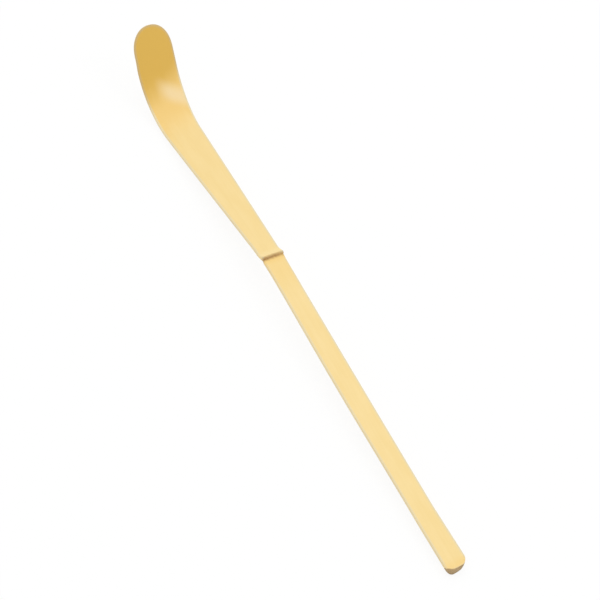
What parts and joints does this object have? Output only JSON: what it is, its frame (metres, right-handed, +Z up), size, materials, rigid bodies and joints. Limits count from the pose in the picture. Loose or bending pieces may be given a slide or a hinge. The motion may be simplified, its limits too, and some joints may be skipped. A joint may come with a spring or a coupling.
{
  "type": "bamboo tea scoop",
  "caption": "Slender tea scoop carved from a single strip of pale bamboo, with a growth node mid-way and a heat-bent round tip for lifting powdered tea.",
  "frame": {"origin": "on the table, under the middle of the scoop's box, with the scoop lying on its back", "axes": "+X from the butt to the bent tip, +Y across the strip, +Z up"},
  "size_m": [0.1796, 0.0112, 0.0211],
  "materials": {
    "bamboo": "smooth satin, sanded and lightly polished"
  },
  "bodies": {
    "root": {"scoop": "bamboo"}
  },
  "joints": []
}
